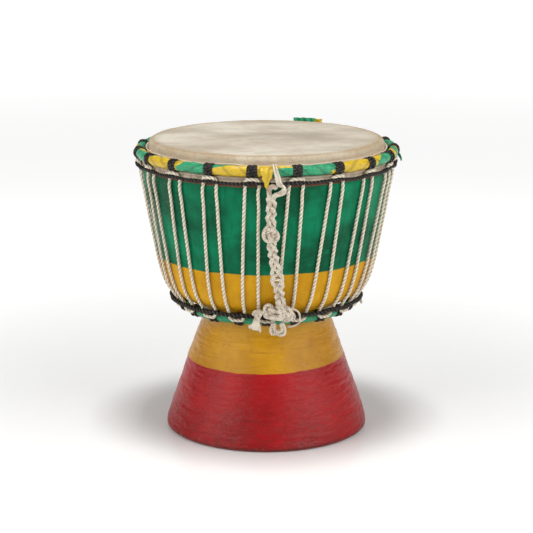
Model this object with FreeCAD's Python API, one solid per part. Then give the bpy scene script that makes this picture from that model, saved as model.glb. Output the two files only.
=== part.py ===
# A small rope-tuned djembe: a one-piece carved goblet shell, a goatskin head
# folded round a flesh ring, a cloth-wrapped crown ring and bottom ring, a
# white tension rope that zigzags between them, and a braided cord tied from
# one ring to the other at the front.
#
# Frame: millimetres, +Z up, the origin at the centre of the foot's flat rim.
# The front of the drum faces -Y. Angles round the drum are measured from the
# front, positive towards +X.
import FreeCAD, Part
import math
import os

os.makedirs("parts", exist_ok=True)
V = FreeCAD.Vector

# ---------------------------------------------------------------- dimensions
HITCHES = 19                 # hitches round the crown ring
PITCH = 360.0 / HITCHES      # angle from one hitch to the next
FIRST = -6.0                 # angle of the hitch just left of the front

# Shell, outer surface from the foot to the bowl's shoulder, as (radius, height)
FOOT_FLAT_IN, FOOT_FLAT_OUT = 75.0, 84.2
SHELL_OUT = [
    (86.7, 2.8), (81.9, 19.0), (73.5, 43.0), (65.4, 67.0), (58.6, 86.0),
    (56.2, 92.2), (55.6, 97.0), (57.2, 102.0), (60.4, 107.0), (64.4, 111.2),
    (68.2, 114.0), (72.0, 116.0), (75.7, 118.1), (79.2, 120.9), (83.3, 126.2),
    (87.0, 134.7), (90.8, 148.0), (93.7, 162.9), (96.4, 177.0), (98.9, 191.0),
    (101.5, 205.2), (103.8, 219.2), (104.5, 225.0),
]
# Shoulder that the folded skin sits down on, and the lip above it
SHELL_SHOULDER = [
    (104.5, 225.0), (104.3, 226.6), (103.4, 227.8), (101.9, 228.3),
    (100.2, 228.8), (99.0, 230.3), (98.52, 232.6), (98.45, 235.5),
]
SHELL_IN = [
    (91.9, 245.4), (91.2, 240.0), (91.3, 230.0), (90.6, 212.0), (88.3, 192.0),
    (85.0, 170.0), (81.0, 152.0), (75.5, 137.0), (66.0, 125.5), (56.0, 116.2),
    (47.6, 107.0), (44.0, 97.0), (46.0, 86.0), (51.6, 67.0), (59.0, 43.0),
    (67.6, 19.0), (75.0, 0.0),
]
LIP_R, LIP_Z, LIP_ROUND = 98.45, 245.0, 4.0   # outer wall, round's centre height
LIP_TOP_IN = 93.4                             # inner end of the flat on the lip

# Skin
SKIN_T = 0.9
SKIN_GAP = 0.05

# Rings and their wrapping
FLESH_R, FLESH_Z, FLESH_WIRE = 101.9, 231.5, 2.0
CROWN_R, CROWN_Z = 106.5, 239.6
CROWN_WIRE, CROWN_CLOTH = 3.0, 4.4
BOTTOM_R, BOTTOM_Z = 70.0, 109.8
BOTTOM_WIRE, BOTTOM_CLOTH = 2.3, 3.3
HITCH_IN = 0.10              # clearance of a hitch on the cloth
HITCH_T = 1.05               # how thick the flattened cord is
HITCH_W = 3.1                # how wide one flattened turn is

# Cords
ROPE_D = 2.8                 # white tension rope
BLACK_D = 3.0                # black cord under the crown ring
BLACK_LOW_D = 2.7            # black cord above the bottom ring
BRAID_D = 8.5                # three-strand braid over its strands
ROPE_OFF = 1.7               # rope's centre line above the shell

# Rope route beside a hitch
TOP_HALF, LOW_HALF = 3.0, PITCH / 4.0
LOW_SKEW = -3.0              # how far the bottom turns sit round from half-way
TOP_U = (106.5, 232.5)       # radius and height of the top turns
LOW_U = (76.0, 110.6)        # radius and height of the bottom turns
CROWN_RUN = (109.3, 229.9)   # black cord under the crown ring
LOW_RUN = (80.9, 114.7)      # black cord above the bottom ring


# ------------------------------------------------------------------- helpers
def at(r, deg, z):
    a = math.radians(deg)
    return V(r * math.sin(a), -r * math.cos(a), z)


def turned(shape, deg):
    s = shape.copy()
    s.rotate(V(0, 0, 0), V(0, 0, 1), deg)
    return s


def spline(points):
    c = Part.BSplineCurve()
    c.interpolate([V(r, 0, z) for r, z in points])
    return c


def revolve(edges, deg=360.0):
    face = Part.Face(Part.Wire(edges))
    return face.revolve(V(0, 0, 0), V(0, 0, 1), deg)


def solid_of(shape):
    s = shape.Solids[0] if shape.Solids else Part.makeSolid(shape.Shells[0])
    if s.Volume < 0:
        s.reverse()
    return s


def path(points, name=None, share=0.45):
    """Straight runs joined by tangent arcs, as one wire."""
    edges, last, radii = [], points[0], []
    for i in range(1, len(points) - 1):
        a, p, b = points[i - 1], points[i], points[i + 1]
        u, w = (a - p), (b - p)
        la, lb = u.Length, w.Length
        u.normalize()
        w.normalize()
        turn = math.pi - u.getAngle(w)
        if turn < 1e-6:
            raise ValueError("three points in line in " + str(name))
        cut = share * min(la, lb)
        r = cut / math.tan(turn / 2.0)
        radii.append(r)
        s, e = p + u * cut, p + w * cut
        bis = (u + w)
        bis.normalize()
        centre = p + bis * (r / math.cos(turn / 2.0))
        mid = centre + (p - centre).normalize() * r
        if (s - last).Length > 1e-7:
            edges.append(Part.LineSegment(last, s).toShape())
        edges.append(Part.Arc(s, mid, e).toShape())
        last = e
    edges.append(Part.LineSegment(last, points[-1]).toShape())
    w = Part.Wire(edges)
    if name:
        print(name, "length %.1f mm, radii" % w.Length, [round(r, 1) for r in radii])
    return w


def tube(points, r, name=None, share=0.45):
    w = path(points, name, share)
    d = points[1] - points[0]
    ring = Part.Wire([Part.makeCircle(r, points[0], d)])
    s = solid_of(w.makePipeShell([ring], True, False))
    want = math.pi * r * r * w.Length
    if name:
        print(name, "volume / (section x length) = %.4f" % (s.Volume / want))
    return s


def turn_round_ring(ring_r, ring_z, wire_r, deg, shift):
    """One flattened turn of cord round a ring's section."""
    inner = wire_r + HITCH_IN
    e = Part.Ellipse(V(0, 0, 0), HITCH_W / 2.0, HITCH_T / 2.0).toShape()
    f = Part.Face(Part.Wire([e]))
    # the section lies across the cord: long axis along the ring
    f.translate(V(shift, 0, 0))
    f.translate(V(0, inner + HITCH_T / 2.0, 0))
    s = f.revolve(V(0, 0, 0), V(1, 0, 0), 360.0)
    s = solid_of(s)
    s.translate(V(0, -ring_r, ring_z))
    return turned(s, deg)


def hitch(ring_r, ring_z, wire_r, deg):
    half = HITCH_W / 2.0 - 0.04
    a = turn_round_ring(ring_r, ring_z, wire_r, deg, -half)
    b = turn_round_ring(ring_r, ring_z, wire_r, deg, half)
    return a.fuse(b)


def ring_tube(ring_r, ring_z, outer, inner, deg0, deg1):
    """Cloth wound round a ring between two angles."""
    c0 = Part.makeCircle(outer, V(0, 0, 0), V(1, 0, 0))
    c1 = Part.makeCircle(inner, V(0, 0, 0), V(1, 0, 0))
    f = Part.Face(Part.Wire([c0])).cut(Part.Face(Part.Wire([c1]))).Faces[0]
    f.translate(V(0, -ring_r, ring_z))
    s = f.revolve(V(0, 0, 0), V(0, 0, 1), deg1 - deg0)
    return turned(solid_of(s), deg0)


def write(node, shape):
    shape.exportStep("parts/%s.step" % node)
    print("%-20s solids %2d  volume %10.1f  valid %s" % (
        node, len(shape.Solids), sum(s.Volume for s in shape.Solids), shape.isValid()))


def compound(shapes):
    out = []
    for s in shapes:
        out += s.Solids
    return Part.makeCompound(out)


# --------------------------------------------------------------------- shell
outer = spline(SHELL_OUT)
shoulder = spline(SHELL_SHOULDER)
inner = spline(SHELL_IN)
lip_top = LIP_Z + LIP_ROUND
lip_c = V(LIP_R - LIP_ROUND, 0, LIP_Z)
k = math.sqrt(0.5)
edges = [
    Part.LineSegment(V(FOOT_FLAT_IN, 0, 0), V(FOOT_FLAT_OUT, 0, 0)).toShape(),
    Part.Arc(V(FOOT_FLAT_OUT, 0, 0), V(86.2, 0, 1.0), V(86.7, 0, 2.8)).toShape(),
    outer.toShape(),
    shoulder.toShape(),
    Part.LineSegment(V(LIP_R, 0, 235.5), V(LIP_R, 0, LIP_Z)).toShape(),
    Part.Arc(V(LIP_R, 0, LIP_Z), lip_c + V(LIP_ROUND * k, 0, LIP_ROUND * k),
             V(lip_c.x, 0, lip_top)).toShape(),
    Part.LineSegment(V(lip_c.x, 0, lip_top), V(LIP_TOP_IN, 0, lip_top)).toShape(),
    Part.Arc(V(LIP_TOP_IN, 0, lip_top), V(92.3, 0, 247.6), V(91.9, 0, 245.4)).toShape(),
    inner.toShape(),
]
shell = solid_of(revolve(edges))
write("shell", shell)

# ------------------------------------------------------------------ drumhead
# Middle line of the skin: across the top, over the lip, down the wall, out
# round the flesh ring, and up again inside the crown ring as a free collar.
mid_lip = LIP_ROUND + SKIN_GAP + SKIN_T / 2.0
mid_flesh = FLESH_WIRE + SKIN_GAP + SKIN_T / 2.0
mid_crown = CROWN_CLOTH + HITCH_IN + HITCH_T + 0.10 + SKIN_T / 2.0
C1, C2, C3 = (lip_c.x, LIP_Z), (FLESH_R, FLESH_Z), (CROWN_R, CROWN_Z)


def cross_tangent(ca, ra, cb, rb, side):
    """Angles on two circles where a tangent passes between them."""
    dx, dz = cb[0] - ca[0], cb[1] - ca[1]
    d = math.hypot(dx, dz)
    base = math.atan2(dz, dx)
    off = math.acos((ra + rb) / d)
    return base + side * off, base + side * off + math.pi


a1, b0 = cross_tangent(C1, mid_lip, C2, mid_flesh, 1)
b1, c0 = cross_tangent(C2, mid_flesh, C3, mid_crown, 1)
c1 = math.radians(160.0)


def pt(c, r, a):
    return V(c[0] + r * math.cos(a), 0, c[1] + r * math.sin(a))


def arc(c, r, a, b):
    return Part.Arc(pt(c, r, a), pt(c, r, (a + b) / 2.0), pt(c, r, b)).toShape()


while b0 < 0:
    b0 += 2 * math.pi
while b1 < b0:
    b1 += 2 * math.pi
while c0 < c1:
    c0 += 2 * math.pi
h = SKIN_T / 2.0
COLLAR_UP = 2.6              # straight free edge of the collar above its bend


def side(s):
    """One face of the skin; s is +1 on the outside of the lip."""
    e = []
    r1, r2, r3 = mid_lip + s * h, mid_flesh - s * h, mid_crown + s * h
    z0 = C1[1] + mid_lip + s * h
    e.append(Part.LineSegment(V(0, 0, z0), V(C1[0], 0, z0)).toShape())
    e.append(arc(C1, r1, math.pi / 2.0, a1))
    e.append(Part.LineSegment(pt(C1, r1, a1), pt(C2, r2, b0)).toShape())
    e.append(arc(C2, r2, b0, b1))
    e.append(Part.LineSegment(pt(C2, r2, b1), pt(C3, r3, c0)).toShape())
    e.append(arc(C3, r3, c0, c1))
    end = pt(C3, r3, c1) + V(math.sin(c1), 0, -math.cos(c1)) * COLLAR_UP
    e.append(Part.LineSegment(pt(C3, r3, c1), end).toShape())
    return e, end, V(0, 0, z0)


top_e, top_end, top_0 = side(1)
low_e, low_end, low_0 = side(-1)
edges = top_e + [Part.LineSegment(top_end, low_end).toShape()] + low_e[::-1] + [
    Part.LineSegment(low_0, top_0).toShape()]
drumhead = solid_of(revolve(Part.__sortEdges__(edges)))
write("drumhead", drumhead)

# --------------------------------------------------------------------- rings
flesh = Part.makeTorus(FLESH_R, FLESH_WIRE, V(0, 0, FLESH_Z), V(0, 0, 1))
write("flesh_ring", flesh)
crown = Part.makeTorus(CROWN_R, CROWN_WIRE, V(0, 0, CROWN_Z), V(0, 0, 1))
write("crown_ring", crown)
low_ring = Part.makeTorus(BOTTOM_R, BOTTOM_WIRE, V(0, 0, BOTTOM_Z), V(0, 0, 1))
write("bottom_ring", low_ring)

# Cloth on the crown ring: strips of green and yellow, changing under hitches
GREEN = (-8, -6, -4, -2, 1, 3, 5, 7, 9)
green, yellow = [], []
for i in range(-9, 10):
    a = FIRST + PITCH * i
    seg = ring_tube(CROWN_R, CROWN_Z, CROWN_CLOTH, CROWN_WIRE + 0.05,
                    a + 0.02, a + PITCH - 0.02)
    (green if i in GREEN else yellow).append(seg)
write("crown_cloth_green", compound(green))
write("crown_cloth_yellow", compound(yellow))

low_cloth = Part.makeTorus(BOTTOM_R, BOTTOM_CLOTH, V(0, 0, BOTTOM_Z), V(0, 0, 1)).cut(
    Part.makeTorus(BOTTOM_R, BOTTOM_WIRE + 0.05, V(0, 0, BOTTOM_Z), V(0, 0, 1)))
write("bottom_ring_cloth", low_cloth)

# ------------------------------------------------------------------- hitches
one = hitch(CROWN_R, CROWN_Z, CROWN_CLOTH, 0.0)
write("crown_hitches", compound([turned(one, FIRST + PITCH * i) for i in range(HITCHES)]))
one = hitch(BOTTOM_R, BOTTOM_Z, BOTTOM_CLOTH, 0.0)
write("bottom_hitches", compound(
    [turned(one, FIRST + PITCH * (i + 0.5) + LOW_SKEW) for i in range(HITCHES)]))

# ------------------------------------------------------ black cords laid round
write("crown_running_cord", Part.makeTorus(
    CROWN_RUN[0], BLACK_D / 2.0, V(0, 0, CROWN_RUN[1]), V(0, 0, 1)))
write("bottom_running_cord", Part.makeTorus(
    LOW_RUN[0], BLACK_LOW_D / 2.0, V(0, 0, LOW_RUN[1]), V(0, 0, 1)))

# -------------------------------------------------------------- tension rope
def shell_point(z):
    """Radius and outward normal of the shell's outside at a height above the throat."""
    best = None
    lo, hi = outer.FirstParameter, outer.LastParameter
    a, b = lo, hi
    for _ in range(60):
        m = 0.5 * (a + b)
        if outer.value(m).z < z:
            a = m
        else:
            b = m
    p = outer.value(0.5 * (a + b))
    t = outer.tangent(0.5 * (a + b))[0]
    t.normalize()
    n = V(t.z, 0, -t.x)
    return p, n


half = []
for z in (225.2, 214.0, 198.0, 180.0, 162.0, 148.0, 137.0, 128.5, 122.3):
    p, n = shell_point(z)
    q = p + n * ROPE_OFF
    half.append((q.x, q.z))
low_run_in = (78.1, 115.6)
rows = [TOP_U] + half + [low_run_in]
z_top, z_low = TOP_U[1], LOW_U[1]


def spread(z):
    return TOP_HALF + (LOW_HALF - TOP_HALF) * (z_top - z) / (z_top - z_low)


def skew(z):
    return LOW_SKEW * (z_top - z) / (z_top - z_low)


corner_r = LOW_U[0] / math.cos(math.radians(PITCH / 2.0 - LOW_HALF))


def leg(s):
    """One run of the rope from the top turn to half-way along the bottom turn."""
    pts = [at(r, s * spread(z) + skew(z), z) for r, z in rows]
    return pts + [at(corner_r, s * LOW_HALF + LOW_SKEW, LOW_U[1]),
                  at(LOW_U[0], s * PITCH / 2.0 + LOW_SKEW, LOW_U[1])]


vee_path = leg(-1)[::-1] + leg(1)
vee = tube(vee_path, ROPE_D / 2.0, "tension_rope unit")
skin_faces = [f for f in vee.Faces if f.Surface.TypeId != "Part::GeomPlane"]
faces = []
for i in range(HITCHES):
    a = FIRST + PITCH * i
    for f in skin_faces:
        faces.append(turned(f, a))
sewn = Part.makeCompound(faces)
sewn.sewShape(1e-4)
rope = solid_of(Part.makeSolid(sewn.Shells[0]))
print("rope shells", len(sewn.Shells), "volume ratio", rope.Volume / (vee.Volume * HITCHES))
# The rope begins and ends at one bottom turn on the right, where it is knotted.
END_DEG = FIRST + PITCH * 5.5 + LOW_SKEW
gap = Part.makeBox(5.0, 12.0, 12.0, V(-2.5, -LOW_U[0] - 6.0, LOW_U[1] - 6.0))
rope = solid_of(rope.cut(turned(gap, END_DEG)))
write("tension_rope", rope)

# Knot that ties the rope's two ends off
def lump(half_len, radius, flat=0.45):
    """A rounded spindle along X."""
    n = 12
    pts = []
    for i in range(n + 1):
        t = -1.0 + 2.0 * i / n
        pts.append((half_len * t, radius * math.sqrt(max(0.0, 1.0 - (1.0 - flat * flat) * t * t))))
    c = Part.BSplineCurve()
    c.interpolate([V(x, r, 0) for x, r in pts])
    e = [c.toShape(),
         Part.LineSegment(V(half_len, pts[-1][1], 0), V(half_len, 0, 0)).toShape(),
         Part.LineSegment(V(half_len, 0, 0), V(-half_len, 0, 0)).toShape(),
         Part.LineSegment(V(-half_len, 0, 0), V(-half_len, pts[0][1], 0)).toShape()]
    f = Part.Face(Part.Wire(e))
    return solid_of(f.revolve(V(0, 0, 0), V(1, 0, 0), 360.0))


k1 = lump(4.6, 3.4)
k1.translate(V(0, -79.6, 109.7))
write("rope_end_knot", turned(k1, END_DEG))

# --------------------------------------------------------- loose cloth corners
def prism(pts, thick):
    w = Part.makePolygon(pts + [pts[0]])
    return Part.Face(w).extrude(thick)


flap = prism([V(-5.2, -112.4, 243.2), V(7.4, -112.4, 243.6), V(5.0, -112.4, 237.0),
              V(-0.6, -112.4, 226.8), V(-3.2, -112.4, 235.5)], V(0, 0.8, 0))
write("cloth_flap_front", flap)
end_r = prism([V(111.3, 4.4, 238.6), V(111.3, 12.0, 237.4), V(112.0, 7.8, 228.6)], V(0.8, 0, 0))
write("cloth_end_right", end_r)
end_b = prism([V(24.0, 0, 245.6), V(50.0, 0, 245.6), V(49.6, 0, 251.2), V(44.0, 0, 252.8),
               V(29.0, 0, 251.9), V(23.2, 0, 248.8)], V(0, 0.8, 0))
end_b.rotate(V(37.0, 0, 248.0), V(0, 0, 1), -20.4)
end_b.translate(V(0, 100.4, 0))
write("cloth_end_back", end_b)

# --------------------------------------------- braided cord tied at the front
BR = BRAID_D / 2.0
route_top = [V(4.2, -109.3, 222.0), V(3.6, -107.6, 209.5), V(3.5, -106.6, 197.4)]
route_low = [V(3.6, -105.6, 182.6), V(6.2, -101.8, 166.0), V(9.2, -99.0, 147.0),
             V(11.0, -95.2, 133.6), V(11.8, -91.2, 124.4)]
write("braid_upper", tube(route_top, BR, "braid_upper"))
write("braid_lower", tube(route_low, BR, "braid_lower"))
a, b = route_top[-1], route_low[0]
axis = b - a
kn = lump(axis.Length / 2.0, 6.6, BR / 6.6)
kn.Placement = FreeCAD.Placement((a + b) * 0.5, FreeCAD.Rotation(V(1, 0, 0), axis))
write("braid_knot", kn)

# Folded cord end and hitch that tie the braid to the crown ring
hitch_path = [V(7.4, -115.0, 242.0), V(8.0, -115.6, 234.6), V(6.4, -114.4, 227.6),
              V(4.4, -110.4, 221.9)]
write("top_hitch", tube(hitch_path, 2.2, "top_hitch"))

# Knot that ties the braid to the bottom ring, and what hangs from it
tie = lump(13.0, 5.8, 0.5)
tie.translate(V(12.0, -88.8, 118.0))
write("tie_knot", tie)
HANG_Y = -88.4
LOOP_X, LOOP_Z, LOOP_HALF = 9.4, 110.4, 5.0
ROPE_R = ROPE_D / 2.0
loop_pts = [V(LOOP_X - LOOP_HALF * 0.72, HANG_Y, LOOP_Z),
            V(LOOP_X - LOOP_HALF, HANG_Y, 106.2),
            V(LOOP_X - LOOP_HALF * 0.45, HANG_Y, 101.7),
            V(LOOP_X + LOOP_HALF * 0.45, HANG_Y, 101.7),
            V(LOOP_X + LOOP_HALF, HANG_Y, 106.2),
            V(LOOP_X + LOOP_HALF * 0.72, HANG_Y, LOOP_Z)]
loop = tube(loop_pts, ROPE_R, "end_loop")
for p in (loop_pts[0], loop_pts[-1]):
    loop = loop.fuse(Part.makeSphere(ROPE_R, p))
write("end_loop", solid_of(loop))
TASSEL_R = 2.4
tass_pts = [V(-4.6, HANG_Y, 118.6), V(-8.2, HANG_Y, 116.6), V(-8.5, HANG_Y, 110.8),
            V(-10.2, HANG_Y, 105.2)]
tass = tube(tass_pts, TASSEL_R, "end_tassel").fuse(Part.makeSphere(TASSEL_R, tass_pts[0]))
write("end_tassel", solid_of(tass))
strand_pts = [V(24.9, -88.4, 121.2), V(27.4, -87.4, 118.6), V(27.6, -85.8, 112.6),
              V(24.0, -85.0, 108.6), V(19.2, -85.2, 107.2)]
write("end_strand", tube(strand_pts, 0.9, "end_strand"))
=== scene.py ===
# Looks of a small rope-tuned djembe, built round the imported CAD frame.
# Lengths in the mesh code are millimetres and become metres in make().
# The front of the drum faces -Y; angles round it are measured from the front,
# positive towards +X.
import math
import bpy
import numpy as np
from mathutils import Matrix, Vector


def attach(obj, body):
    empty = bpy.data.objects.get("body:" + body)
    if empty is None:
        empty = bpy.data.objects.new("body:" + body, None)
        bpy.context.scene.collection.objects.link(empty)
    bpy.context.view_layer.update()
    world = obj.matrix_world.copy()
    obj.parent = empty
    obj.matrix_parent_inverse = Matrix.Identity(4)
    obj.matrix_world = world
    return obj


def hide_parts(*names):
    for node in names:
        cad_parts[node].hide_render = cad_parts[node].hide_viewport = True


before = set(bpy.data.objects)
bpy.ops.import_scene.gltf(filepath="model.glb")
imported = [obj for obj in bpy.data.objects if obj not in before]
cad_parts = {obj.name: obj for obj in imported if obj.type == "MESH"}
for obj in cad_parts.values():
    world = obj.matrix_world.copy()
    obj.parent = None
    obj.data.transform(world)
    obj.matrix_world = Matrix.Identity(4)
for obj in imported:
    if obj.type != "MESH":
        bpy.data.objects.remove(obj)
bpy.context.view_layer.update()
scene = bpy.context.scene
MM = 0.001
TAU = 2.0 * math.pi

# ---------------------------------------------------------------- camera
cam_data = bpy.data.cameras.new("camera")
cam = bpy.data.objects.new("camera", cam_data)
scene.collection.objects.link(cam)
cam.location = (0.0, -1.4595, 0.4828)
cam.rotation_euler = (Vector((0.0, 0.0, 0.1378)) - cam.location).to_track_quat("-Z", "Y").to_euler()
cam_data.sensor_width = 36.0
cam_data.lens = 118.2
cam_data.clip_start, cam_data.clip_end = 0.01, 100.0
scene.camera = cam

# ---------------------------------------------------------------- dimensions
HITCHES = 19
PITCH = 360.0 / HITCHES
FIRST = -6.0
TOP_HALF, LOW_HALF, LOW_SKEW = 3.0, PITCH / 4.0, -3.0
SHELL_OUT = [
    (86.7, 2.8), (81.9, 19.0), (73.5, 43.0), (65.4, 67.0), (58.6, 86.0),
    (56.2, 92.2), (55.6, 97.0), (57.2, 102.0), (60.4, 107.0), (64.4, 111.2),
    (68.2, 114.0), (72.0, 116.0), (75.7, 118.1), (79.2, 120.9), (83.3, 126.2),
    (87.0, 134.7), (90.8, 148.0), (93.7, 162.9), (96.4, 177.0), (98.9, 191.0),
    (101.5, 205.2), (103.8, 219.2), (104.5, 225.0),
]
SHELL_SHOULDER = [
    (104.5, 225.0), (104.3, 226.6), (103.4, 227.8), (101.9, 228.3),
    (100.2, 228.8), (99.0, 230.3), (98.52, 232.6), (98.45, 235.5),
]
SHELL_IN = [
    (91.9, 245.4), (91.2, 240.0), (91.3, 230.0), (90.6, 212.0), (88.3, 192.0),
    (85.0, 170.0), (81.0, 152.0), (75.5, 137.0), (66.0, 125.5), (56.0, 116.2),
    (47.6, 107.0), (44.0, 97.0), (46.0, 86.0), (51.6, 67.0), (59.0, 43.0),
    (67.6, 19.0), (75.0, 0.0),
]
CROWN_R, CROWN_Z, CROWN_WIRE, CROWN_CLOTH = 106.5, 239.6, 3.0, 4.4
BOTTOM_R, BOTTOM_Z, BOTTOM_WIRE, BOTTOM_CLOTH = 70.0, 109.8, 2.3, 3.3
FLESH_R, FLESH_Z, FLESH_WIRE = 101.9, 231.5, 2.0
END_DEG = FIRST + PITCH * 5.5 + LOW_SKEW


# ---------------------------------------------------------------- maths
def at(r, deg, z):
    a = np.radians(np.asarray(deg, float))
    r = np.asarray(r, float)
    z = np.asarray(z, float)
    r, a, z = np.broadcast_arrays(r, a, z)
    return np.stack([r * np.sin(a), -r * np.cos(a), z], -1)


def unit(v):
    return v / np.maximum(np.linalg.norm(v, axis=-1, keepdims=True), 1e-12)


def smooth(x, a, b):
    t = np.clip((x - a) / (b - a), 0.0, 1.0)
    return t * t * (3 - 2 * t)


def spline(points, step, closed=False):
    """Natural cubic through the points, resampled at an even step."""
    p = np.asarray(points, float)
    pad = 0
    if closed:
        pad = min(4, len(p) - 1)
        p = np.vstack([p[-pad:], p, p[:pad + 1]])
    t = np.r_[0, np.cumsum(np.linalg.norm(np.diff(p, axis=0), axis=1))]
    n = len(p)
    h = np.diff(t)
    a = np.zeros((n, n))
    b = np.zeros_like(p)
    a[0, 0] = a[-1, -1] = 1
    for i in range(1, n - 1):
        a[i, i - 1:i + 2] = h[i - 1], 2 * (h[i - 1] + h[i]), h[i]
        b[i] = 6 * ((p[i + 1] - p[i]) / h[i] - (p[i] - p[i - 1]) / h[i - 1])
    m = np.linalg.solve(a, b)
    t0, t1 = (t[pad], t[-pad - 1]) if closed else (t[0], t[-1])
    x = np.linspace(t0, t1, max(8, int((t1 - t0) / (step * 0.25))))
    i = np.clip(np.searchsorted(t, x, side="right") - 1, 0, n - 2)
    hh = h[i][:, None]
    u, w = (t[i + 1] - x)[:, None], (x - t[i])[:, None]
    q = (m[i] * u ** 3 + m[i + 1] * w ** 3) / (6 * hh) + (p[i] / hh - m[i] * hh / 6) * u \
        + (p[i + 1] / hh - m[i + 1] * hh / 6) * w
    return even(q, step, closed)


def even(q, step, closed=False):
    s = np.r_[0, np.cumsum(np.linalg.norm(np.diff(q, axis=0), axis=1))]
    k = max(4, int(round(s[-1] / step)))
    x = np.linspace(0, s[-1], k + 1)
    if closed:
        x = x[:-1]
    return np.stack([np.interp(x, s, q[:, j]) for j in range(q.shape[1])], -1)


def vnoise(x, y, seed, px):
    """Smooth value noise in -1..1, repeating every px along x."""
    g = np.random.RandomState(seed).rand(px, 97)
    xi, yi = np.floor(x).astype(int), np.floor(y).astype(int)
    fx, fy = x - xi, y - yi
    fx, fy = fx * fx * (3 - 2 * fx), fy * fy * (3 - 2 * fy)
    a, b = g[xi % px, yi % 97], g[(xi + 1) % px, yi % 97]
    c, d = g[xi % px, (yi + 1) % 97], g[(xi + 1) % px, (yi + 1) % 97]
    return ((a + (b - a) * fx) * (1 - fy) + (c + (d - c) * fx) * fy) * 2 - 1


def around(deg, z, cells, dz, seed):
    """Noise over a lathe: cells round the turn, dz millimetres a cell up it."""
    return vnoise(deg / 360.0 * cells, z / dz, seed, cells)


# ---------------------------------------------------------------- mesh code
class Batch:
    def __init__(s):
        s.v, s.q, s.t, s.n, s.a = [], [], [], 0, {}

    def add(s, v, q, t=(), **attrs):
        v = np.asarray(v, float).reshape(-1, 3)
        s.v.append(v)
        if len(q):
            s.q.append(np.asarray(q, int).reshape(-1, 4) + s.n)
        if len(t):
            s.t.append(np.asarray(t, int).reshape(-1, 3) + s.n)
        for k, x in attrs.items():
            x = np.asarray(x, float)
            if x.ndim == 0:
                x = np.full(len(v), float(x))
            s.a.setdefault(k, []).append(x)
        s.n += len(v)


def make(name, b, mat, body="drum", replaces=()):
    v = np.vstack(b.v)
    q = np.vstack(b.q) if b.q else np.zeros((0, 4), int)
    t = np.vstack(b.t) if b.t else np.zeros((0, 3), int)
    # outward normals: the enclosed volume has to come out positive
    vol = 0.0
    for f in (q[:, [0, 1, 2]], q[:, [0, 2, 3]], t):
        if len(f):
            vol += np.einsum("ij,ij->i", v[f[:, 0]], np.cross(v[f[:, 1]], v[f[:, 2]])).sum()
    if vol < 0:
        q, t = q[:, ::-1], t[:, ::-1]
    me = bpy.data.meshes.new(name)
    me.vertices.add(len(v))
    me.vertices.foreach_set("co", (v * MM).astype(np.float32).ravel())
    loops = np.concatenate([q.ravel(), t.ravel()]).astype(np.int32)
    starts = np.concatenate([np.arange(len(q)) * 4, len(q) * 4 + np.arange(len(t)) * 3]).astype(np.int32)
    me.loops.add(len(loops))
    me.loops.foreach_set("vertex_index", loops)
    me.polygons.add(len(starts))
    me.polygons.foreach_set("loop_start", starts)
    me.update(calc_edges=True)
    me.polygons.foreach_set("use_smooth", np.ones(len(starts), bool))
    for k, xs in b.a.items():
        x = np.concatenate([np.asarray(i).reshape(-1, 3) if np.asarray(i).ndim == 2 else np.asarray(i) for i in xs])
        if x.ndim == 2:
            me.attributes.new(k, "FLOAT_VECTOR", "POINT").data.foreach_set("vector", x.astype(np.float32).ravel())
        else:
            me.attributes.new(k, "FLOAT", "POINT").data.foreach_set("value", x.astype(np.float32))
    me.materials.append(mat)
    o = bpy.data.objects.new(name, me)
    scene.collection.objects.link(o)
    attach(o, body)
    if replaces:
        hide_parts(*replaces)
    return o


def tangents(p, closed):
    if closed:
        return unit(np.roll(p, -1, 0) - np.roll(p, 1, 0))
    return unit(np.gradient(p, axis=0))


def carried(p, t, closed):
    """Normals carried along a line without twist."""
    n = np.zeros_like(p)
    ref = np.array([0, 0, 1.0]) if abs(t[0][2]) < 0.8 else np.array([1.0, 0, 0])
    n[0] = unit(ref - t[0] * (ref @ t[0]))
    for i in range(1, len(p)):
        v = n[i - 1] - t[i] * (n[i - 1] @ t[i])
        n[i] = v / (math.sqrt(v @ v) + 1e-12)
    if closed:
        v = unit(n[-1] - t[0] * (n[-1] @ t[0]))
        ang = math.atan2(np.cross(n[0], v) @ t[0], n[0] @ v)
        a = -ang * np.arange(len(p)) / len(p)
        bn = np.cross(t, n)
        n = n * np.cos(a)[:, None] + bn * np.sin(a)[:, None]
    return n


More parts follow.
